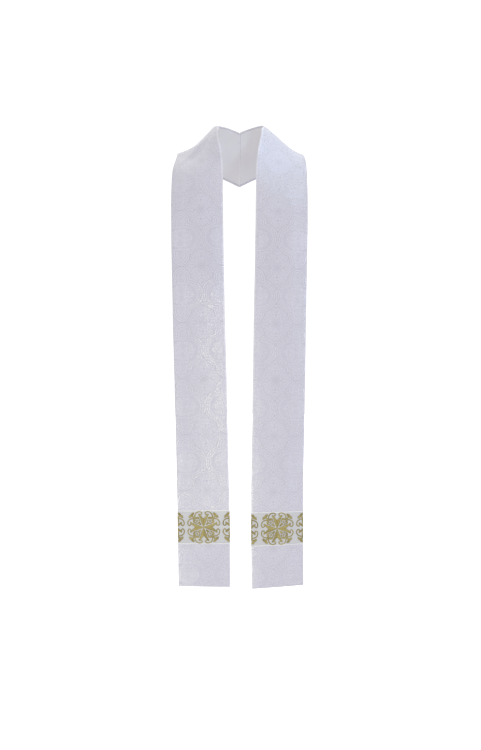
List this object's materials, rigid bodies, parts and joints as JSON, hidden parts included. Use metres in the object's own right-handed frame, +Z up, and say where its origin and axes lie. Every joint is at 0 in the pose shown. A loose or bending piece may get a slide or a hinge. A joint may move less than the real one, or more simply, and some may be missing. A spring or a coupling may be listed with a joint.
{
  "type": "priest stole",
  "caption": "Long brocade stole worn round the neck: two panels meet at the nape and hang down the front, each with a gold-patterned galloon band.",
  "frame": {"origin": "inside of the cloth at the top of the centre-back seam, where it rests on the nape of the neck", "axes": "+Z up, +X the wearer's left, -Y the wearer's front"},
  "size_m": [0.3294, 0.2415, 1.1336],
  "materials": {
    "brocade": "white-lilac satin jacquard with a tone-on-tone quatrefoil pattern",
    "galloon": "grey-white ribbed satin ribbon",
    "gold_embroidery": "raised antique gold thread",
    "lining": "plain white-lilac satin"
  },
  "bodies": {
    "root": {"panel_left": "brocade", "panel_right": "brocade", "galloon_left": "galloon", "galloon_right": "galloon"}
  },
  "joints": []
}
